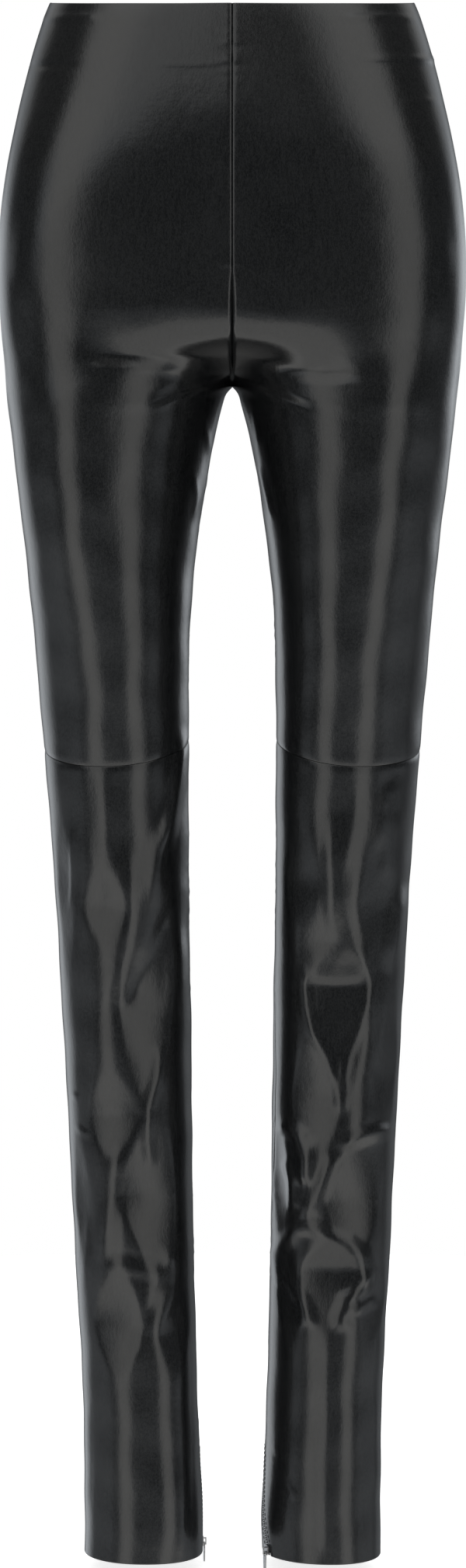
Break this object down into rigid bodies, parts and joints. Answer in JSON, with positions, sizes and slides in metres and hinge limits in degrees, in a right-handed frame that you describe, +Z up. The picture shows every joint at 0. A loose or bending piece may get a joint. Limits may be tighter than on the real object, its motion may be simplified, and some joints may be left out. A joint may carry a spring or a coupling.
{
  "type": "leggings",
  "caption": "High-waisted full-length black leather leggings, filled out as worn, seamed at the knees, with a short zip at the inside of each ankle.",
  "frame": {"origin": "middle of the waist opening, where the wearer's waist holds the leggings", "axes": "+Z up along the body, the front faces -Y, +X is the wearer's left"},
  "size_m": [0.3268, 0.226, 1.1169],
  "materials": {
    "leather": "glossy fine-grained",
    "zip_tape": "woven",
    "zip_metal": "dark nickel"
  },
  "bodies": {
    "garment": {"front_upper_left": "leather", "back_upper_left": "leather", "front_lower_left": "leather", "back_lower_left": "leather", "zip_left": "zip_tape", "slider_left": "zip_metal", "front_upper_right": "leather", "back_upper_right": "leather", "front_lower_right": "leather", "back_lower_right": "leather", "zip_right": "zip_tape", "slider_right": "zip_metal"},
    "left_pull": {"pull_left": "zip_metal"},
    "right_pull": {"pull_right": "zip_metal"}
  },
  "joints": [
    {"name": "left_pull_swing", "type": "hinge", "parent": "garment", "child": "left_pull", "pos_m": [0.02316, -0.00235, -1.0973], "axis": [-0.4062, 0.9138, 0], "range_deg": [0, 130]},
    {"name": "right_pull_swing", "type": "hinge", "parent": "garment", "child": "right_pull", "pos_m": [-0.0201, 0.02712, -1.0973], "axis": [0.1888, -0.982, 0], "range_deg": [0, 130]}
  ]
}
